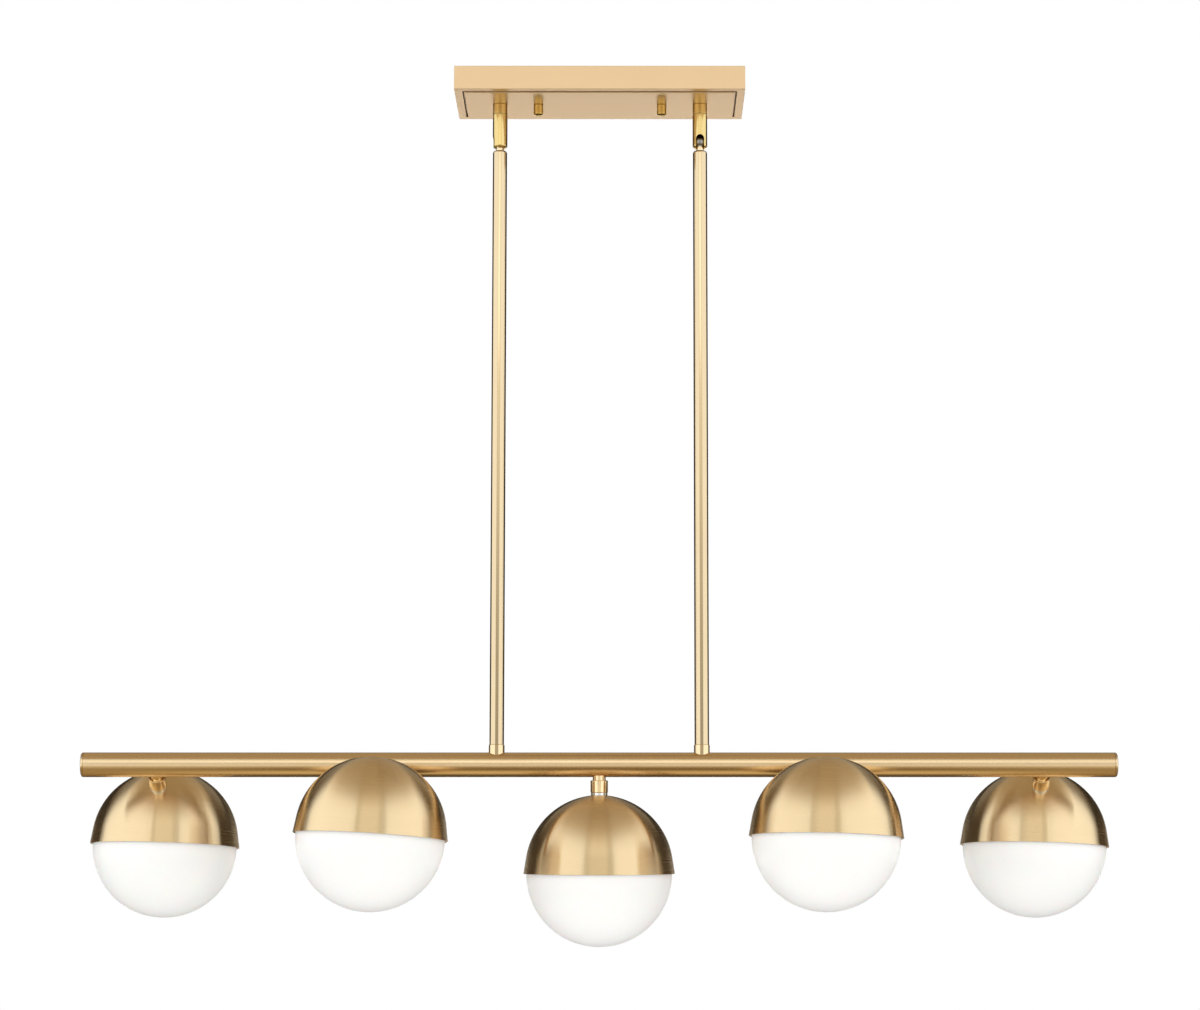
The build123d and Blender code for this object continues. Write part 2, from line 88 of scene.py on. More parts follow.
def bevel_edges(piece, width, segments=3):
    """Rounds the piece's sharp edges and shades it smooth between what stays sharp."""
    take(piece)
    rounding = piece.modifiers.new("rounding", "BEVEL")
    rounding.width = width
    rounding.segments = segments
    rounding.limit_method = "ANGLE"
    rounding.angle_limit = radians(30.0)
    bpy.ops.object.modifier_apply(modifier=rounding.name)
    smooth_between_edges(piece)
    flats = piece.modifiers.new("flats", "WEIGHTED_NORMAL")
    flats.weight = 80
    flats.keep_sharp = True
    bpy.ops.object.modifier_apply(modifier=flats.name)


def new_material(name):
    """A new material, with its nodes and its links."""
    made = bpy.data.materials.new(name)
    made.use_nodes = True
    return made, made.node_tree.nodes, made.node_tree.links


def metal(name, colour, roughness, spread, grain, relief, coordinates="UV", along=0.0):
    """A metal with fine tool lines.

    Grain is the lines' scale along each coordinate and relief their strength. Spread is how far
    they change the roughness, and along is how much the gloss follows them.
    """
    made, nodes, links = new_material(name)
    shader = nodes["Principled BSDF"]
    shader.inputs["Metallic"].default_value = 1.0
    shader.inputs["Anisotropic"].default_value = along
    place = nodes.new("ShaderNodeTexCoord")
    stretch = nodes.new("ShaderNodeMapping")
    stretch.inputs["Scale"].default_value = grain
    lines = nodes.new("ShaderNodeTexNoise")
    lines.inputs["Scale"].default_value = 1.0
    lines.inputs["Detail"].default_value = 3.0
    cloud = nodes.new("ShaderNodeTexNoise")
    cloud.inputs["Scale"].default_value = cloud_scale
    cloud.inputs["Detail"].default_value = 2.0
    links.new(place.outputs[coordinates], stretch.inputs["Vector"])
    links.new(stretch.outputs["Vector"], lines.inputs["Vector"])
    links.new(place.outputs["Object"], cloud.inputs["Vector"])
    tone = nodes.new("ShaderNodeMix")
    tone.data_type = "RGBA"
    tone.inputs["A"].default_value = tuple(c * cloud_dark for c in colour) + (1.0,)
    tone.inputs["B"].default_value = tuple(min(1.0, c * cloud_light) for c in colour) + (1.0,)
    links.new(cloud.outputs["Fac"], tone.inputs["Factor"])
    links.new(tone.outputs["Result"], shader.inputs["Base Color"])
    gloss = nodes.new("ShaderNodeMapRange")
    gloss.inputs["From Min"].default_value = 0.3
    gloss.inputs["From Max"].default_value = 0.7
    gloss.inputs["To Min"].default_value = roughness - spread
    gloss.inputs["To Max"].default_value = roughness + spread
    links.new(lines.outputs["Fac"], gloss.inputs["Value"])
    links.new(gloss.outputs["Result"], shader.inputs["Roughness"])
    bump = nodes.new("ShaderNodeBump")
    bump.inputs["Strength"].default_value = relief
    bump.inputs["Distance"].default_value = line_height
    links.new(lines.outputs["Fac"], bump.inputs["Height"])
    links.new(bump.outputs["Normal"], shader.inputs["Normal"])
    return made


def second_colour(material, colour, amount):
    """Mixes a second colour into a material's base colour, by the amount that a socket gives."""
    nodes, links = material.node_tree.nodes, material.node_tree.links
    base = nodes["Principled BSDF"].inputs["Base Color"]
    mixed = nodes.new("ShaderNodeMix")
    mixed.data_type = "RGBA"
    mixed.inputs["B"].default_value = colour + (1.0,)
    links.new(amount, mixed.inputs["Factor"])
    links.new(base.links[0].from_socket, mixed.inputs["A"])
    links.new(mixed.outputs["Result"], base)


def dress(piece, material):
    """Gives the piece this one material."""
    piece.data.materials.clear()
    piece.data.materials.append(material)


brushed_brass = metal("brushed_brass", (0.73, 0.53, 0.313), roughness=0.34, spread=0.03,
                      grain=(5.0, 2200.0, 2200.0), relief=0.03, coordinates="Object")
# Painted shade: inside the groove round the panel, the brass is mixed with a dark brown that stands for
# the shade falling there.
nodes, links = brushed_brass.node_tree.nodes, brushed_brass.node_tree.links
place = nodes.new("ShaderNodeTexCoord")
split = nodes.new("ShaderNodeSeparateXYZ")
links.new(place.outputs["Object"], split.inputs["Vector"])
groove_inset = panel_margin - groove_width - groove_slope
groove_middle = -canopy_depth + groove_slope + groove_depth / 2
painted_shade_in_groove = None
for axis, centre, reach in (("X", 0.0, canopy_length / 2 - groove_inset),
                            ("Y", 0.0, canopy_width / 2 - groove_inset),
                            ("Z", groove_middle, groove_depth / 2)):
    near = nodes.new("ShaderNodeMath")
    near.operation = "COMPARE"
    near.inputs[1].default_value = centre
    near.inputs[2].default_value = reach
    links.new(split.outputs[axis], near.inputs[0])
    both = nodes.new("ShaderNodeMath")
    both.operation = "MULTIPLY"
    both.inputs[1].default_value = 1.0
    links.new(near.outputs["Value"], both.inputs[0])
    if painted_shade_in_groove:
        links.new(painted_shade_in_groove, both.inputs[1])
    painted_shade_in_groove = both.outputs["Value"]
second_colour(brushed_brass, groove_painted_shade, painted_shade_in_groove)

fresh_start()
bpy.ops.mesh.primitive_cube_add(size=1.0, location=(0.0, 0.0, -canopy_depth / 2),
                                scale=(canopy_length, canopy_width, canopy_depth))
canopy = bpy.context.object
canopy.name = "canopy_pan"
bpy.ops.object.transform_apply(location=True, rotation=True, scale=True)
pick_faces(canopy, lambda face: face.normal.z < -0.9)
bpy.ops.mesh.inset(thickness=panel_margin - groove_width, depth=0.0)
bpy.ops.mesh.inset(thickness=groove_slope, depth=-groove_depth)
bpy.ops.mesh.inset(thickness=groove_width - 2 * groove_slope, depth=0.0)
bpy.ops.mesh.inset(thickness=groove_slope, depth=groove_depth + panel_rise)
pick_faces(canopy, lambda face: face.normal.z > 0.9)
bpy.ops.mesh.delete(type="FACE")
bpy.ops.object.mode_set(mode="OBJECT")
sheet = canopy.modifiers.new("sheet", "SOLIDIFY")
sheet.thickness = canopy_wall
sheet.offset = -1.0
sheet.use_even_offset = True
bpy.ops.object.modifier_apply(modifier=sheet.name)
bevel_edges(canopy, width=canopy_edge)
dress(canopy, brushed_brass)
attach(canopy, "canopy_set")
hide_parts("canopy")

# Crossbar that is screwed to the ceiling box, with its two studs, their locknuts and the
# washers and locknuts of the swivels: zinc-plated steel, with a green ground screw.
zinc = metal("zinc_plate", (0.60, 0.61, 0.62), roughness=0.34, spread=0.08,
             grain=(700.0, 700.0, 700.0), relief=0.25, coordinates="Object")
ground_green = metal("ground_green", (0.05, 0.26, 0.09), roughness=0.38, spread=0.05,
                     grain=(900.0, 900.0, 900.0), relief=0.2, coordinates="Object")
for node in ("mounting_strap", "strap_studs", "stud_locknuts", "swivel_washers", "swivel_locknuts"):
    dress(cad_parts[node], zinc)
dress(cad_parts["ground_screw"], ground_green)

# Round blind nuts that hold the canopy up on its studs: turned from brass and polished, with
# a threaded hole from above and a slightly domed lower end.
nut_radius = 0.00505
nut_top = -0.0261
nut_height = 0.0115
stud_bore = 0.00213
stud_depth = 0.009
drill_depth = 0.0095
stud_x = 0.0653
wrap_scale = 10.0
on_axis = 0.00001


def turn_on_lathe(name, profile, steps=96):
    """A turned piece about Z: the profile, as radius and height, is drawn point by point and spun."""
    fresh_start()
    bpy.ops.mesh.primitive_plane_add(size=0.001, location=(0.0, 0.0, 0.0))
    piece = bpy.context.object
    piece.name = name
    bpy.ops.object.mode_set(mode="EDIT")
    bpy.ops.mesh.select_all(action="SELECT")
    bpy.ops.mesh.merge(type="CENTER")
    at = (0.0, 0.0)
    for number, (radius, height) in enumerate(profile):
        step = (radius - at[0], 0.0, height - at[1])
        if number == 0:
            bpy.ops.transform.translate(value=step)
        else:
            bpy.ops.mesh.extrude_region_move(TRANSFORM_OT_translate={"value": step})
        at = (radius, height)
    bpy.ops.mesh.select_all(action="SELECT")
    bpy.ops.mesh.spin(steps=steps, angle=2 * pi, center=(0.0, 0.0, 0.0), axis=(0.0, 0.0, 1.0))
    bpy.ops.mesh.select_all(action="SELECT")
    bpy.ops.mesh.remove_doubles(threshold=0.000001)
    bpy.ops.mesh.normals_make_consistent(inside=False)
    bpy.ops.object.mode_set(mode="OBJECT")
    return piece


def wrap_tool_lines(piece):
    """A UV map round Z: once round across, and up along the turned profile."""
    while piece.data.uv_layers:
        piece.data.uv_layers.remove(piece.data.uv_layers[0])
    layer = piece.data.uv_layers.new(name="turned")
    corners = piece.data.vertices
    for face in piece.data.polygons:
        middle = atan2(face.center.y, face.center.x) / (2 * pi)
        for corner in face.loop_indices:
            spot = corners[piece.data.loops[corner].vertex_index].co
            out = sqrt(spot.x**2 + spot.y**2)
            turn = atan2(spot.y, spot.x) / (2 * pi) if out > on_axis else middle
            turn += round(middle - turn)
            layer.data[corner].uv = (turn, (spot.z - out) * wrap_scale)


def put(piece, origin, up=(0.0, 0.0, 1.0), across=(1.0, 0.0, 0.0)):
    """Moves a piece made about Z at the origin to its place, with its place in its mesh."""
    z = Vector(up).normalized()
    x = (Vector(across) - z * Vector(across).dot(z)).normalized()
    y = z.cross(x)
    turn = Matrix((x, y, z)).transposed().to_4x4()
    piece.data.transform(Matrix.Translation(Vector(origin)) @ turn)
    piece.data.update()


def copy_of(piece, name):
    """A copy with a mesh of its own."""
    fresh_start()
    twin = piece.copy()
    twin.data = piece.data.copy()
    twin.name = name
    bpy.context.scene.collection.objects.link(twin)
    return twin


nut_brass = metal("nut_brass", (0.72, 0.52, 0.17), roughness=0.14, spread=0.03,
                  grain=(6.0, 500.0, 1.0), relief=0.04)
nut_dome = [(0.0, 0.0), (0.0020, 0.00012), (0.0034, 0.00042), (0.0044, 0.0009), (nut_radius, 0.0015)]
nut = turn_on_lathe("canopy_nut", nut_dome + [
    (nut_radius, nut_height), (stud_bore, nut_height),
    (stud_bore, nut_height - stud_depth), (0.0, nut_height - drill_depth),
], steps=64)
bevel_edges(nut, width=0.0004)
wrap_tool_lines(nut)
dress(nut, nut_brass)
for side, x in (("left", -stud_x), ("right", stud_x)):
    piece = copy_of(nut, "ceiling_nut_" + side)
    put(piece, (x, 0.0, nut_top - nut_height))
    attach(piece, "nut_" + side)
    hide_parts("canopy_nut_" + side)
bpy.data.objects.remove(nut)

# Hang-straight swivels: a fixed collar under the canopy and a slotted cup that turns on it,
# both turned from brass and satin finished. The steel ball in the cup has a brass neck.
swivel_x = 0.1058
swivel_radius = 0.00775
swivel_seam = -0.0368
panel_z = -0.026
collar_height = 0.0105
nipple_radius = 0.00485
nipple_top = -0.0178
spigot_radius = 0.00592
spigot_end = -0.0445
lead_bore = 0.0024
cup_bottom = -0.073
cup_bore = 0.006
cup_round = 0.0024
cup_turn = {"left": -80.0, "right": 0.0}
mouth_radius = 0.0051
ball_z = -0.0665
seat_radius = 0.00583
slot_width = 0.0086
slot_z = -0.0639
slot_drop = 0.012
slot_reach = 0.012
neck_z = -0.0724
neck_blur = 0.0004
neck_colour = (0.82, 0.66, 0.42)


def round_edge(out, end, size, steps, way=1):
    """A turned piece's round edge, from its side to its upper end, or with way -1 to its lower end."""
    turns = [radians(90.0 * i / steps) for i in range(steps + 1)]
    return [(out - size + size * cos(a), end - way * size + way * size * sin(a)) for a in turns]


def cut_away(piece, cutter):
    """Takes the cutter's shape out of the piece and throws the cutter away."""
    cut = piece.modifiers.new("cut", "BOOLEAN")
    cut.operation = "DIFFERENCE"
    cut.object = cutter
    take(piece)
    bpy.ops.object.modifier_apply(modifier=cut.name)
    bpy.data.objects.remove(cutter)


swivel_brass = metal("swivel_brass", (0.73, 0.54, 0.215), roughness=0.15, spread=0.02,
                     grain=(6.0, 600.0, 1.0), relief=0.02)
# Painted shade: the ball is steel, given a darker grey than steel's own to stand for the shade inside the
# cup round it.
ball_metal = metal("ball_and_neck", (0.30, 0.29, 0.28), roughness=0.20, spread=0.03,
                   grain=(900.0, 900.0, 60.0), relief=0.03, coordinates="Object")
nodes, links = ball_metal.node_tree.nodes, ball_metal.node_tree.links
place = nodes.new("ShaderNodeTexCoord")
split = nodes.new("ShaderNodeSeparateXYZ")
below = nodes.new("ShaderNodeMapRange")
below.inputs["From Min"].default_value = neck_z
below.inputs["From Max"].default_value = neck_z + neck_blur
below.inputs["To Min"].default_value = 1.0
below.inputs["To Max"].default_value = 0.0
links.new(place.outputs["Object"], split.inputs["Vector"])
links.new(split.outputs["Z"], below.inputs["Value"])
second_colour(ball_metal, neck_colour, below.outputs["Result"])

swivel_collar = turn_on_lathe("swivel_collar", [
    (lead_bore, nipple_top), (nipple_radius, nipple_top), (nipple_radius, panel_z),
    (swivel_radius, panel_z), (swivel_radius, panel_z - collar_height),
    (spigot_radius, panel_z - collar_height), (spigot_radius, spigot_end), (lead_bore, spigot_end),
    (lead_bore, nipple_top),
], steps=64)
bevel_edges(swivel_collar, width=0.00045)
wrap_tool_lines(swivel_collar)
dress(swivel_collar, swivel_brass)

mouth = [(seat_radius * cos(radians(a)), ball_z - seat_radius * sin(radians(a)))
         for a in (38.0, 28.0, 19.0, 9.0, 0.0)]
cup = turn_on_lathe("swivel_cup", [
    (cup_bore, swivel_seam), (swivel_radius, swivel_seam),
] + round_edge(swivel_radius, cup_bottom, cup_round, steps=6, way=-1) + [
    (mouth_radius, cup_bottom),
] + mouth + [
    (cup_bore, ball_z), (cup_bore, swivel_seam),
], steps=96)
for side, x in (("left", -swivel_x), ("right", swivel_x)):
    piece = copy_of(swivel_collar, "turned_collar_" + side)
    put(piece, (x, 0.0, 0.0))
    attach(piece, "canopy_set")
    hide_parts("swivel_collar_" + side)
    piece = copy_of(cup, "slotted_cup_" + side)
    fresh_start()
    bpy.ops.mesh.primitive_cylinder_add(vertices=48, radius=slot_width / 2, depth=slot_reach,
                                        location=(0.0, -slot_reach / 2, slot_z),
                                        rotation=(radians(90.0), 0.0, 0.0))
    slot_top = bpy.context.object
    bpy.ops.mesh.primitive_cube_add(size=1.0, scale=(slot_width, slot_reach, slot_drop),
                                    location=(0.0, -slot_reach / 2, slot_z - slot_drop / 2))
    for cutter in (slot_top, bpy.context.object):
        cut_away(piece, cutter)
    bevel_edges(piece, width=0.0003, segments=2)
    wrap_tool_lines(piece)
    dress(piece, swivel_brass)
    turn = radians(cup_turn[side])
    put(piece, (x, 0.0, 0.0), across=(cos(turn), sin(turn), 0.0))
    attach(piece, "cup_" + side)
    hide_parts("swivel_cup_" + side)
    dress(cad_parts["swivel_ball_" + side], ball_metal)
bpy.data.objects.remove(swivel_collar)
bpy.data.objects.remove(cup)

# Down rods: satin brass tube, rounded at the top where the swivel's neck is screwed in, each
# standing in a polished collar that is shaped to the bar's round.
rod_radius = 0.0075
rod_top = -0.0763
rod_bottom = -0.7065
rod_bore = 0.0045
neck_bore = 0.00385
neck_depth = 0.012
foot_radius = 0.00815
foot_chamfer = 0.0004
pocket_radius = 0.00605
pocket_depth = 0.00605
bar_z = -0.727
bar_radius = 0.0127

satin_brass = metal("satin_brass", (0.70, 0.54, 0.325), roughness=0.11, spread=0.015,
                    grain=(8.0, 700.0, 1.0), relief=0.02)
polished_brass = metal("polished_brass", (0.84, 0.64, 0.37), roughness=0.10, spread=0.02,
                       grain=(6.0, 600.0, 1.0), relief=0.03)
rod_shoulder = [
    (rod_radius - 0.0026, rod_top), (rod_radius - 0.00145, rod_top - 0.00025),
    (rod_radius - 0.0007, rod_top - 0.00082), (rod_radius - 0.0002, rod_top - 0.0016),
    (rod_radius, rod_top - 0.0026),
]
rod = turn_on_lathe("rod", [(neck_bore, rod_top)] + rod_shoulder + [
    (rod_radius, rod_bottom), (rod_bore, rod_bottom), (rod_bore, rod_top - neck_depth),
    (neck_bore, rod_top - neck_depth), (neck_bore, rod_top),
])
bevel_edges(rod, width=0.0002, segments=2)
wrap_tool_lines(rod)
dress(rod, satin_brass)
for side, x in (("left", -swivel_x), ("right", swivel_x)):
    piece = copy_of(rod, "down_rod_" + side)
    put(piece, (x, 0.0, 0.0))
    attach(piece, "hanging_frame")
    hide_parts("rod_" + side)
bpy.data.objects.remove(rod)

foot = turn_on_lathe("rod_foot", [
    (rod_bore, rod_bottom - pocket_depth), (pocket_radius, rod_bottom - pocket_depth),
    (pocket_radius, rod_bottom), (foot_radius - foot_chamfer, rod_bottom),
    (foot_radius, rod_bottom - foot_chamfer), (foot_radius, bar_z),
    (rod_bore, bar_z), (rod_bore, rod_bottom - pocket_depth),
], steps=96)
fresh_start()
bpy.ops.mesh.primitive_cylinder_add(vertices=256, radius=bar_radius, depth=0.06,
                                    location=(0.0, 0.0, bar_z), rotation=(0.0, radians(90.0), 0.0))
cut_away(foot, bpy.context.object)
smooth_between_edges(foot)
wrap_tool_lines(foot)
dress(foot, polished_brass)
for side, x in (("left", -swivel_x), ("right", swivel_x)):
    piece = copy_of(foot, "saddle_collar_" + side)
    put(piece, (x, 0.0, 0.0))
    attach(piece, "hanging_frame")
    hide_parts("rod_collar_" + side)
bpy.data.objects.remove(foot)

# The bar: one long round brass tube, drawn and brushed lengthwise, and closed at each end by
# a turned brass cap whose plug is pressed into the tube.
bar_wall = 0.0015
tube_length = 1.0606
cap_length = 0.0031
cap_round = 0.0018
cap_chamfer = 0.0004
plug_radius = 0.01115
plug_length = 0.008
plug_chamfer = 0.0005

bar_brass = metal("drawn_brass", (0.82, 0.62, 0.37), roughness=0.26, spread=0.02,
                  grain=(260.0, 4.0, 1.0), relief=0.02)
bar = turn_on_lathe("long_bar", [
    (bar_radius, -tube_length / 2), (bar_radius, tube_length / 2),
    (bar_radius - bar_wall, tube_length / 2), (bar_radius - bar_wall, -tube_length / 2),
    (bar_radius, -tube_length / 2),
], steps=128)
bevel_edges(bar, width=0.0001, segments=2)
wrap_tool_lines(bar)
dress(bar, bar_brass)
put(bar, (0.0, 0.0, bar_z), up=(1.0, 0.0, 0.0), across=(0.0, 1.0, 0.0))
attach(bar, "hanging_frame")
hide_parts("bar_tube")

cap = turn_on_lathe("end_cap", [
    (0.0, -plug_length), (plug_radius - plug_chamfer, -plug_length),
    (plug_radius, -plug_length + plug_chamfer), (plug_radius, 0.0),
    (bar_radius - cap_chamfer, 0.0), (bar_radius, cap_chamfer),
] + round_edge(bar_radius, cap_length, cap_round, steps=5) + [(0.0, cap_length)], steps=128)
smooth_between_edges(cap)
wrap_tool_lines(cap)
dress(cap, satin_brass)
for side, way in (("left", -1.0), ("right", 1.0)):
    piece = copy_of(cap, "bar_cap_" + side)
    put(piece, (way * tube_length / 2, 0.0, bar_z), up=(way, 0.0, 0.0), across=(0.0, 1.0, 0.0))
    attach(piece, "hanging_frame")
    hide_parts("end_cap_" + side)
bpy.data.objects.remove(cap)

# Arms: a threaded brass tube leaves the bar for each dome, with a polished collar, a
# nickel washer that sits on the dome, and a steel locknut inside it.
arm_reach = 0.1073
side_lean = 46.0
centre_lean = 3.8
globe_x = {1: -0.4572, 2: -0.2286, 3: 0.0, 4: 0.2286, 5: 0.4572}
arm_lean = {1: side_lean, 2: -side_lean, 3: centre_lean, 4: -side_lean, 5: side_lean}
neck_radius = 0.00675
neck_start = 0.0112
collar_start = 0.0161
collar_end = 0.02885
collar_radius = 0.009
washer_end = 0.0311
washer_radius = 0.0086
washer_middle = 0.0067
tube_radius = 0.00485
tube_start = 0.0097
tube_end = 0.04075
tube_chamfer = 0.0004
lead_hole = 0.0032
thread_start = 0.0012
thread_turns = 8
thread_pitch = 0.001
thread_depth = 0.0004
dome_radius = 0.0762

arm_way = {n: Vector((0.0, sin(radians(a)), -cos(radians(a)))) for n, a in arm_lean.items()}
arm_foot = {n: Vector((x, 0.0, bar_z)) for n, x in globe_x.items()}

collar = turn_on_lathe("arm_collar", [
    (tube_radius, collar_start), (collar_radius, collar_start), (collar_radius, collar_end),
    (tube_radius, collar_end), (tube_radius, collar_start),
])
bevel_edges(collar, width=0.0008)
wrap_tool_lines(collar)
dress(collar, polished_brass)


def dome_face(out):
    """How far along the arm the dome's surface lies at this distance from the arm's axis."""
    return arm_reach - sqrt(dome_radius**2 - out**2)


nickel = metal("nickel", (0.80, 0.79, 0.77), roughness=0.12, spread=0.03,
               grain=(6.0, 400.0, 1.0), relief=0.05)
washer = turn_on_lathe("arm_washer", [
    (tube_radius, collar_end), (washer_radius, collar_end), (washer_radius, dome_face(washer_radius)),
    (washer_middle, dome_face(washer_middle)), (tube_radius, dome_face(tube_radius)),
    (tube_radius, collar_end),
])
bevel_edges(washer, width=0.0003, segments=2)
wrap_tool_lines(washer)
dress(washer, nickel)
for n in globe_x:
    piece = copy_of(collar, "clamp_collar_%d" % n)
    put(piece, arm_foot[n], up=arm_way[n])
    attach(piece, "hanging_frame")
    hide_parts("arm_collar_%d" % n)
    piece = copy_of(washer, "dome_washer_%d" % n)
    put(piece, arm_foot[n], up=arm_way[n])
    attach(piece, "hanging_frame")
    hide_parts("arm_washers")
bpy.data.objects.remove(collar)
bpy.data.objects.remove(washer)

thread = []
for turn in range(thread_turns):
    crest = washer_end + thread_start + turn * thread_pitch
    thread += [(tube_radius, -crest), (tube_radius - thread_depth, -crest - thread_pitch / 2)]
arm = turn_on_lathe("arm_tube", [
    (lead_hole, -tube_start), (tube_radius, -tube_start), (tube_radius, -neck_start),
    (neck_radius, -neck_start), (neck_radius, -collar_start), (tube_radius, -collar_start),
] + thread + [
    (tube_radius, -tube_end + tube_chamfer), (tube_radius - tube_chamfer, -tube_end),
    (lead_hole, -tube_end), (lead_hole, -tube_start),
], steps=64)
smooth_between_edges(arm, angle=25.0)
wrap_tool_lines(arm)
dress(arm, polished_brass)
for n in globe_x:
    piece = copy_of(arm, "threaded_arm_%d" % n)
    put(piece, arm_foot[n], up=-arm_way[n])
    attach(piece, "hanging_frame")
    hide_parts("arm_tubes")
bpy.data.objects.remove(arm)
dress(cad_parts["arm_locknuts"], zinc)

# Spun domes: each upper half is a thin brass shell, round at the top and running out straight
# to its rim. The spinning tool's fine lines go round it.
dome_wall = 0.0012
skirt = 0.00465
flare_start = 0.012
flare = asin(flare_start / dome_radius)
dome_turn = {1: 2.2, 2: -4.6, 3: 0.0, 4: -1.8, 5: 2.2}
arc_steps = 48

spun_brass = metal("spun_brass", (0.82, 0.62, 0.36), roughness=0.26, spread=0.015,
                   grain=(5.0, 320.0, 1.0), relief=0.015, along=1.0)
nodes, links = spun_brass.node_tree.nodes, spun_brass.node_tree.links
direction = nodes.new("ShaderNodeTangent")
direction.direction_type = "UV_MAP"
direction.uv_map = "turned"
nodes["Principled BSDF"].inputs["Anisotropic Rotation"].default_value = 0.25
links.new(direction.outputs["Tangent"], nodes["Principled BSDF"].inputs["Tangent"])


def dome_line(radius):
    """A dome surface's outline: its sphere from the top down, then straight on to the rim."""
    arc = [(pi / 2 - flare) * i / arc_steps for i in range(arc_steps + 1)]
    rim = (radius + skirt * sin(flare)) / cos(flare)
    return [(radius * sin(a), radius * cos(a)) for a in arc] + [(rim, -skirt)]


dome = turn_on_lathe("dome", dome_line(dome_radius) + dome_line(dome_radius - dome_wall)[::-1], steps=192)
bevel_edges(dome, width=0.0004, segments=2)
wrap_tool_lines(dome)
dress(dome, spun_brass)


def globe_pose(n):
    """A globe's centre, and the directions up and across of its axis."""
    way = arm_way[n]
    turn = Matrix.Rotation(radians(dome_turn[n]), 4, way)
    up = -way if n == 3 else Vector((0.0, 0.0, 1.0))
    return arm_foot[n] + way * arm_reach, turn @ up, turn @ Vector((1.0, 0.0, 0.0))


for n in globe_x:
    piece = copy_of(dome, "spun_dome_%d" % n)
    put(piece, *globe_pose(n))
    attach(piece, "hanging_frame")
    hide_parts("dome_%d" % n)
bpy.data.objects.remove(dome)

# Opal glass bowls: blown white glass, with a stepped neck that goes up inside the dome,
# in a steel ring with three lugs.
glass_radius = 0.0749
glass_wall = 0.003
neck_inset = 0.0035
neck_top = 0.0026
glass_low = -skirt
rim_height = 0.0007
shoulder_height = 0.0015
inner_steps = 42


def cloudy(name, dark, light, scale, roughness):
    """A finish whose tone drifts softly between two colours."""
    made, nodes, links = new_material(name)
    nodes["Principled BSDF"].inputs["Roughness"].default_value = roughness
    place = nodes.new("ShaderNodeTexCoord")
    cloud = nodes.new("ShaderNodeTexNoise")
    cloud.inputs["Scale"].default_value = scale
    tone = nodes.new("ShaderNodeMix")
    tone.data_type = "RGBA"
    tone.inputs["A"].default_value = dark + (1.0,)
    tone.inputs["B"].default_value = light + (1.0,)
    links.new(place.outputs["Object"], cloud.inputs["Vector"])
    links.new(cloud.outputs["Fac"], tone.inputs["Factor"])
    links.new(tone.outputs["Result"], nodes["Principled BSDF"].inputs["Base Color"])
    return made


opal = cloudy("opal_glass", dark=(0.945, 0.93, 0.905), light=(0.965, 0.95, 0.93),
              scale=16.0, roughness=0.32)
shader = opal.node_tree.nodes["Principled BSDF"]
shader.inputs["IOR"].default_value = 1.5
shader.inputs["Subsurface Weight"].default_value = 0.25
shader.inputs["Subsurface Scale"].default_value = 0.004


def bowl_line(radius, last):
    """A bowl surface's outline, from its lowest point outwards to this step of the arc."""
    arc = [radians(90.0 * i / arc_steps) for i in range(last + 1)]
    return [(radius * sin(a), glass_low - radius * cos(a)) for a in arc]


glass_neck = glass_radius - neck_inset
bowl = turn_on_lathe("bowl", bowl_line(glass_radius, arc_steps) + [
    (glass_radius, glass_low + rim_height), (glass_neck, glass_low + shoulder_height),
    (glass_neck, neck_top), (glass_neck - glass_wall, neck_top), (glass_neck - glass_wall, glass_low),
] + bowl_line(glass_radius - glass_wall, inner_steps)[::-1], steps=160)
bevel_edges(bowl, width=0.0002, segments=2)
dress(bowl, opal)
for n in globe_x:
    piece = copy_of(bowl, "opal_bowl_%d" % n)
    put(piece, *globe_pose(n))
    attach(piece, "glass_bowl_%d" % n)
    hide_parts("glass_%d" % n)
    dress(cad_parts["glass_ring_%d" % n], zinc)
bpy.data.objects.remove(bowl)

# Lamps: a bent steel bracket under each arm's nut carries a ceramic two-pin holder with a
# small frosted glass lamp.
ceramic = cloudy("holder_ceramic", dark=(0.80, 0.78, 0.73), light=(0.88, 0.86, 0.82),
                 scale=600.0, roughness=0.45)
lamp_glass, nodes, links = new_material("lamp_glass")
place = nodes.new("ShaderNodeTexCoord")
frost = nodes.new("ShaderNodeTexNoise")
frost.inputs["Scale"].default_value = 900.0
gloss = nodes.new("ShaderNodeMapRange")
gloss.inputs["To Min"].default_value = 0.35
gloss.inputs["To Max"].default_value = 0.55
links.new(place.outputs["Object"], frost.inputs["Vector"])
links.new(frost.outputs["Fac"], gloss.inputs["Value"])
links.new(gloss.outputs["Result"], nodes["Principled BSDF"].inputs["Roughness"])
nodes["Principled BSDF"].inputs["Base Color"].default_value = (0.93, 0.92, 0.88, 1.0)
for node in ("lamp_brackets", "holder_screws"):
    dress(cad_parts[node], zinc)
for n in globe_x:
    dress(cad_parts["lamp_holder_%d" % n], ceramic)
    dress(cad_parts["lamp_%d" % n], lamp_glass)

# The studio's floor: one large plane far below the pendant, matt and pale grey, with a slight
# drift in its tone.
floor_z = -1.9
floor_size = 14.0

fresh_start()
bpy.ops.mesh.primitive_plane_add(size=floor_size, location=(0.0, 0.0, floor_z))
floor = bpy.context.object
floor.name = "studio_floor"
dress(floor, cloudy("pale_floor", dark=(0.84, 0.84, 0.84), light=(0.87, 0.87, 0.87),
                    scale=0.8, roughness=0.9))

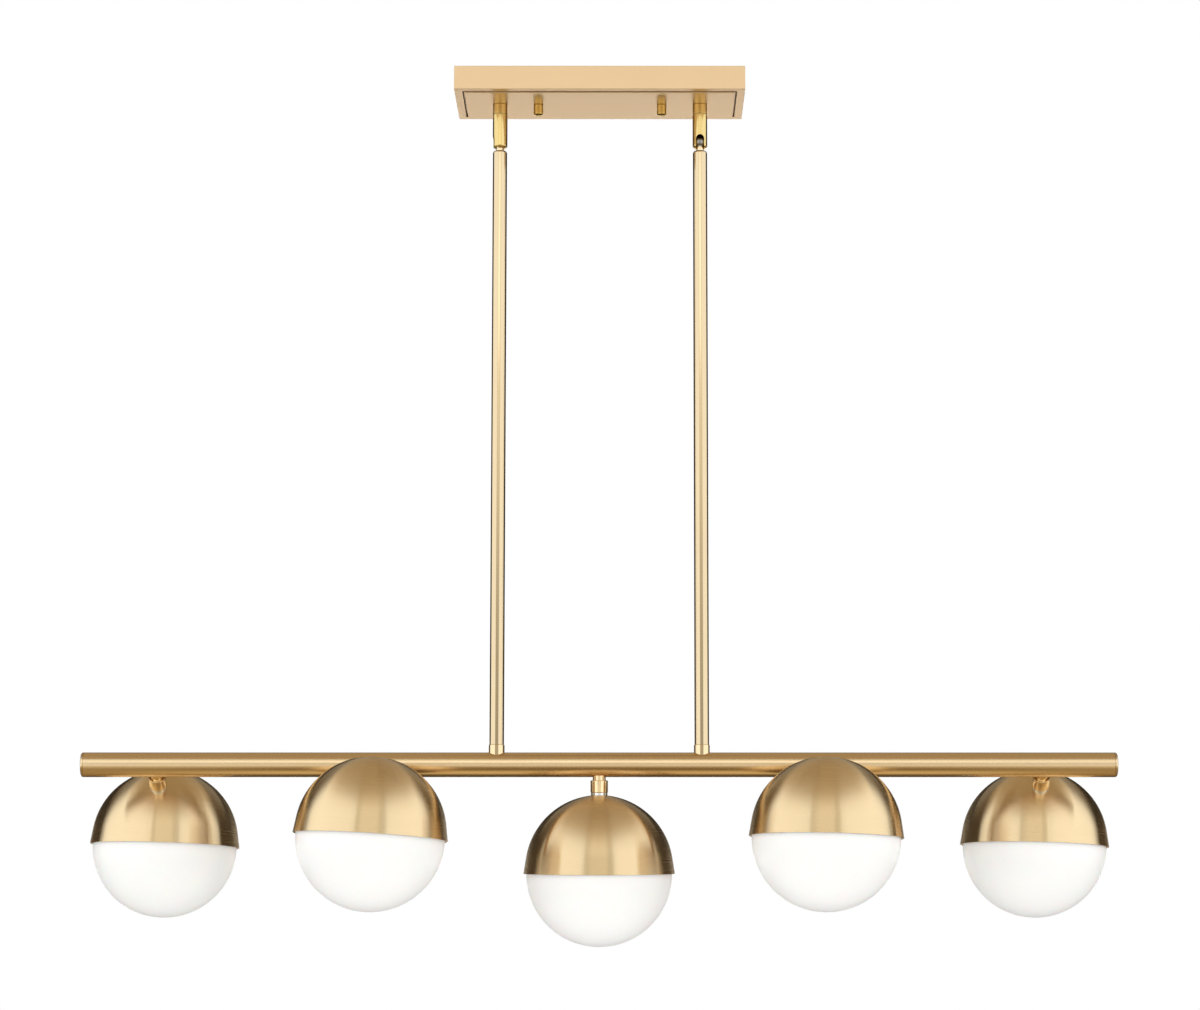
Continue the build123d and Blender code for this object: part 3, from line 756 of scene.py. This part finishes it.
# Screens round the pendant, which only the metal mirrors: one ring, cream in front, cool grey
# at the sides and dark behind. In front its glow also changes with the height.
ring_radius = 4.2
ring_height = 4.2
ring_z = 1.15
ring_sides = 96
ring_glow = 1.1
ring_colours = [
    (0.0, (1.0, 0.97, 0.90)), (0.035, (1.0, 0.97, 0.90)), (0.06, (1.0, 0.99, 0.93)),
    (0.09, (0.84, 0.84, 0.80)), (0.115, (0.98, 0.99, 0.95)), (0.14, (0.74, 0.77, 0.83)),
    (0.56, (0.74, 0.77, 0.83)), (0.60, (0.07, 0.045, 0.02)), (0.72, (0.12, 0.085, 0.05)),
    (0.84, (0.24, 0.22, 0.19)), (1.0, (0.28, 0.27, 0.25)),
]
front_low = -0.95
front_high = 0.45
front_levels = [(0.0, 0.85), (0.2, 0.75), (0.4, 0.42), (0.6, 0.54), (0.75, 0.68), (1.0, 1.0)]
front_end = 0.10
sides_start = 0.16


def glow_of(name, colour=(1.0, 1.0, 1.0)):
    """A surface that only glows, in this colour or in one that is linked in later."""
    made, nodes, links = new_material(name)
    nodes.remove(nodes["Principled BSDF"])
    glow = nodes.new("ShaderNodeEmission")
    glow.inputs["Color"].default_value = colour + (1.0,)
    links.new(glow.outputs["Emission"], nodes["Material Output"].inputs["Surface"])
    return made


def set_stops(ramp, stops):
    """Gives a colour ramp its stops, each a position and a colour, the first at 0 and the last at 1."""
    points = ramp.color_ramp.elements
    points[0].color = stops[0][1] + (1.0,)
    points[1].color = stops[-1][1] + (1.0,)
    for position, colour in stops[1:-1]:
        points.new(position).color = colour + (1.0,)


fresh_start()
bpy.ops.mesh.primitive_cylinder_add(vertices=ring_sides, radius=ring_radius, depth=ring_height,
                                    location=(0.0, 0.0, ring_z), end_fill_type="NOTHING")
ring = bpy.context.object
ring.name = "studio_screens"
bpy.ops.object.transform_apply(location=True, rotation=True, scale=True)
ring_screens = glow_of("dim_screens")
nodes, links = ring_screens.node_tree.nodes, ring_screens.node_tree.links
place = nodes.new("ShaderNodeTexCoord")
split = nodes.new("ShaderNodeSeparateXYZ")
links.new(place.outputs["Object"], split.inputs["Vector"])
aside = nodes.new("ShaderNodeMath")
aside.operation = "ABSOLUTE"
links.new(split.outputs["X"], aside.inputs[0])
forward = nodes.new("ShaderNodeMath")
forward.operation = "MULTIPLY"
forward.inputs[1].default_value = -1.0
links.new(split.outputs["Y"], forward.inputs[0])
angle = nodes.new("ShaderNodeMath")
angle.operation = "ARCTAN2"
links.new(aside.outputs["Value"], angle.inputs[0])
links.new(forward.outputs["Value"], angle.inputs[1])
share = nodes.new("ShaderNodeMath")
share.operation = "DIVIDE"
share.inputs[1].default_value = pi
links.new(angle.outputs["Value"], share.inputs[0])
ramp = nodes.new("ShaderNodeValToRGB")
set_stops(ramp, ring_colours)
links.new(share.outputs["Value"], ramp.inputs["Fac"])
links.new(ramp.outputs["Color"], nodes["Emission"].inputs["Color"])
rise = nodes.new("ShaderNodeMapRange")
rise.inputs["From Min"].default_value = front_low
rise.inputs["From Max"].default_value = front_high
links.new(split.outputs["Z"], rise.inputs["Value"])
level = nodes.new("ShaderNodeValToRGB")
set_stops(level, [(position, (shade, shade, shade)) for position, shade in front_levels])
links.new(rise.outputs["Result"], level.inputs["Fac"])
past_front = nodes.new("ShaderNodeMapRange")
past_front.inputs["From Min"].default_value = front_end
past_front.inputs["From Max"].default_value = sides_start
links.new(share.outputs["Value"], past_front.inputs["Value"])
even = nodes.new("ShaderNodeMath")
even.operation = "MAXIMUM"
links.new(level.outputs["Color"], even.inputs[0])
links.new(past_front.outputs["Result"], even.inputs[1])
power = nodes.new("ShaderNodeMath")
power.operation = "MULTIPLY"
power.inputs[1].default_value = ring_glow
links.new(even.outputs["Value"], power.inputs[0])
links.new(power.outputs["Value"], nodes["Emission"].inputs["Strength"])
dress(ring, ring_screens)

# More for the metal to mirror: a warm ceiling that closes the ring, two rings of dark flags
# round the back, one high and one low, and a bright panel low behind them.
flag_radius = 4.0
flag_height = 1.5
flag_z = 0.4
flag_opening = 105.0
low_flag_scale = (0.675, 0.675, 0.267)
low_flag_z = -1.15
back_size = (6.0, 0.94, 1.0)
back_place = (0.0, 4.6, -1.43)

fresh_start()
bpy.ops.mesh.primitive_circle_add(vertices=ring_sides, radius=ring_radius, fill_type="NGON",
                                  location=(0.0, 0.0, ring_z + ring_height / 2))
ceiling = bpy.context.object
ceiling.name = "studio_ceiling"
dress(ceiling, glow_of("ceiling_glow", (0.43, 0.33, 0.20)))

fresh_start()
bpy.ops.mesh.primitive_cylinder_add(vertices=ring_sides, radius=flag_radius, depth=flag_height,
                                    location=(0.0, 0.0, flag_z), end_fill_type="NOTHING")
flags = bpy.context.object
flags.name = "studio_flags"
pick_faces(flags, lambda face: atan2(abs(face.center.x), -face.center.y) < radians(flag_opening))
bpy.ops.mesh.delete(type="FACE")
bpy.ops.object.mode_set(mode="OBJECT")
dress(flags, glow_of("flag_black", (0.04, 0.032, 0.022)))
low_flags = copy_of(flags, "studio_low_flags")
low_flags.scale = low_flag_scale
low_flags.location = (0.0, 0.0, low_flag_z)

fresh_start()
bpy.ops.mesh.primitive_plane_add(size=1.0, location=back_place, rotation=(radians(90.0), 0.0, 0.0))
back_panel = bpy.context.object
back_panel.name = "studio_back_glow"
back_panel.scale = back_size
dress(back_panel, glow_of("back_glow", (2.97, 2.81, 2.57)))

# The screen below, which the undersides of the metal mirror: level, pale towards the camera
# and dark further back. Its middle part has one light band across, and its two ends have none.
under_size = (8.0, 6.8, 1.0)
under_place = (0.0, -0.8, -1.35)
under_front = -4.2
under_back = 2.6
fade_start = 0.38
fade_end = 0.66
middle_bands = [
    (0.0, (0.85, 0.82, 0.75)), (0.30, (0.80, 0.75, 0.64)), (0.37, (0.58, 0.49, 0.35)),
    (0.44, (0.38, 0.29, 0.16)), (0.50, (0.20, 0.13, 0.05)), (0.552, (0.20, 0.13, 0.05)),
    (0.59, (0.72, 0.56, 0.31)), (0.625, (0.72, 0.56, 0.31)), (0.65, (0.12, 0.09, 0.05)),
    (1.0, (0.06, 0.05, 0.04)),
]
outer_bands = [
    (0.0, (0.85, 0.82, 0.75)), (0.30, (0.85, 0.80, 0.68)), (0.44, (0.62, 0.52, 0.34)),
    (0.51, (0.42, 0.33, 0.18)), (0.61, (0.37, 0.26, 0.12)), (0.66, (0.30, 0.20, 0.09)),
    (0.75, (0.08, 0.06, 0.04)), (1.0, (0.06, 0.05, 0.04)),
]

fresh_start()
bpy.ops.mesh.primitive_grid_add(x_subdivisions=2, y_subdivisions=2, size=1.0, location=under_place)
under = bpy.context.object
under.name = "studio_under_screen"
under.scale = under_size
bpy.ops.object.transform_apply(location=True, rotation=True, scale=True)
low_screen = glow_of("low_screens")
nodes, links = low_screen.node_tree.nodes, low_screen.node_tree.links
place = nodes.new("ShaderNodeTexCoord")
split = nodes.new("ShaderNodeSeparateXYZ")
links.new(place.outputs["Object"], split.inputs["Vector"])
share = nodes.new("ShaderNodeMapRange")
share.inputs["From Min"].default_value = under_front
share.inputs["From Max"].default_value = under_back
links.new(split.outputs["Y"], share.inputs["Value"])
aside = nodes.new("ShaderNodeMath")
aside.operation = "ABSOLUTE"
links.new(split.outputs["X"], aside.inputs[0])
fade = nodes.new("ShaderNodeMapRange")
fade.interpolation_type = "SMOOTHSTEP"
fade.inputs["From Min"].default_value = fade_start
fade.inputs["From Max"].default_value = fade_end
links.new(aside.outputs["Value"], fade.inputs["Value"])
blend = nodes.new("ShaderNodeMix")
blend.data_type = "RGBA"
links.new(fade.outputs["Result"], blend.inputs["Factor"])
for socket, bands in (("A", middle_bands), ("B", outer_bands)):
    ramp = nodes.new("ShaderNodeValToRGB")
    set_stops(ramp, bands)
    links.new(share.outputs["Result"], ramp.inputs["Fac"])
    links.new(ramp.outputs["Color"], blend.inputs[socket])
links.new(blend.outputs["Result"], nodes["Emission"].inputs["Color"])
dress(under, low_screen)
for screen in (ring, ceiling, flags, low_flags, back_panel, under):
    screen.visible_camera = False
    screen.visible_diffuse = False
    screen.visible_shadow = False
    screen.visible_transmission = False

# The surround: plain white to the camera and in gloss and glass, and a little dimmer and
# warmer as light on the pendant.
surround_light = (0.785, 0.752, 0.723)

world = bpy.data.worlds.new("white_surround")
bpy.context.scene.world = world
world.use_nodes = True
world.cycles.sampling_method = "NONE"
nodes, links = world.node_tree.nodes, world.node_tree.links
rays = nodes.new("ShaderNodeLightPath")
seen = nodes.new("ShaderNodeMath")
seen.operation = "MAXIMUM"
links.new(rays.outputs["Is Camera Ray"], seen.inputs[0])
links.new(rays.outputs["Is Glossy Ray"], seen.inputs[1])
shown = nodes.new("ShaderNodeMath")
shown.operation = "MAXIMUM"
links.new(seen.outputs["Value"], shown.inputs[0])
links.new(rays.outputs["Is Transmission Ray"], shown.inputs[1])
tone = nodes.new("ShaderNodeMix")
tone.data_type = "RGBA"
tone.inputs["A"].default_value = surround_light + (1.0,)
tone.inputs["B"].default_value = (1.0, 1.0, 1.0, 1.0)
links.new(shown.outputs["Value"], tone.inputs["Factor"])
links.new(tone.outputs["Result"], nodes["Background"].inputs["Color"])

# The lamps: two tall soft boxes at each side, a small one high in front, and a wide one
# below, which the metal doesn't mirror.
box_colour = (0.93, 1.0, 1.06)
side_boxes = {
    "fore": ((1.17, -2.76), (2.12, -0.57)),
    "aft": ((2.12, -0.57), (2.10, 0.70)),
}
side_box_z = 0.1
side_box_height = 3.0
side_box_light = 0.54
front_box_place = (-0.08, -3.16, 0.62)
front_box_aim = (0.0, 0.0, -0.4)
under_box_place = (0.0, -0.5, -1.8)
under_box_aim = (0.0, 0.0, -0.8)


def soft_box(name, spot, towards, width, height, strength):
    """A rectangular lamp that shines towards a point, with its strength given for its area."""
    fresh_start()
    bpy.ops.object.light_add(type="AREA", location=spot)
    box = bpy.context.object
    box.name = name
    box.data.shape = "RECTANGLE"
    box.data.size = width
    box.data.size_y = height
    box.data.energy = strength * pi * width * height
    box.data.color = box_colour
    box.rotation_euler = (Vector(towards) - Vector(spot)).to_track_quat("-Z", "Y").to_euler()
    box.visible_camera = False
    return box


for side, way in (("left", -1.0), ("right", 1.0)):
    for part, (near, far) in side_boxes.items():
        middle = Vector(((near[0] + far[0]) / 2 * way, (near[1] + far[1]) / 2, side_box_z))
        width = sqrt((near[0] - far[0]) ** 2 + (near[1] - far[1]) ** 2)
        facing = Vector((-(far[1] - near[1]) * way, far[0] - near[0], 0.0))
        soft_box("box_%s_%s" % (part, side), middle, middle + facing,
                 width=width, height=side_box_height, strength=side_box_light)
soft_box("box_front", front_box_place, front_box_aim, width=1.75, height=0.45, strength=0.76)
under_box = soft_box("box_under", under_box_place, under_box_aim, width=3.0, height=1.6, strength=0.56)
under_box.visible_glossy = False

# The camera stands in front, a little below the globes, and looks slightly upwards with a
# long lens, as the photograph's does. Its shift frames the pendant as there.
camera_place = (0.02772, -3.21399, -0.9943)
camera_upwards = 7.663
camera_sideways = -0.037
camera_lens = 93.754
camera_shift = (-0.02346, 0.08418)

fresh_start()
bpy.ops.object.camera_add(location=camera_place)
camera = bpy.context.object
camera.name = "photo_camera"
camera.rotation_mode = "XYZ"
camera.rotation_euler = (radians(90.0 + camera_upwards), 0.0, radians(camera_sideways))
camera.data.sensor_width = 36.0
camera.data.lens = camera_lens
camera.data.shift_x = camera_shift[0]
camera.data.shift_y = camera_shift[1]
bpy.context.scene.camera = camera
bpy.context.scene.view_settings.view_transform = "Standard"
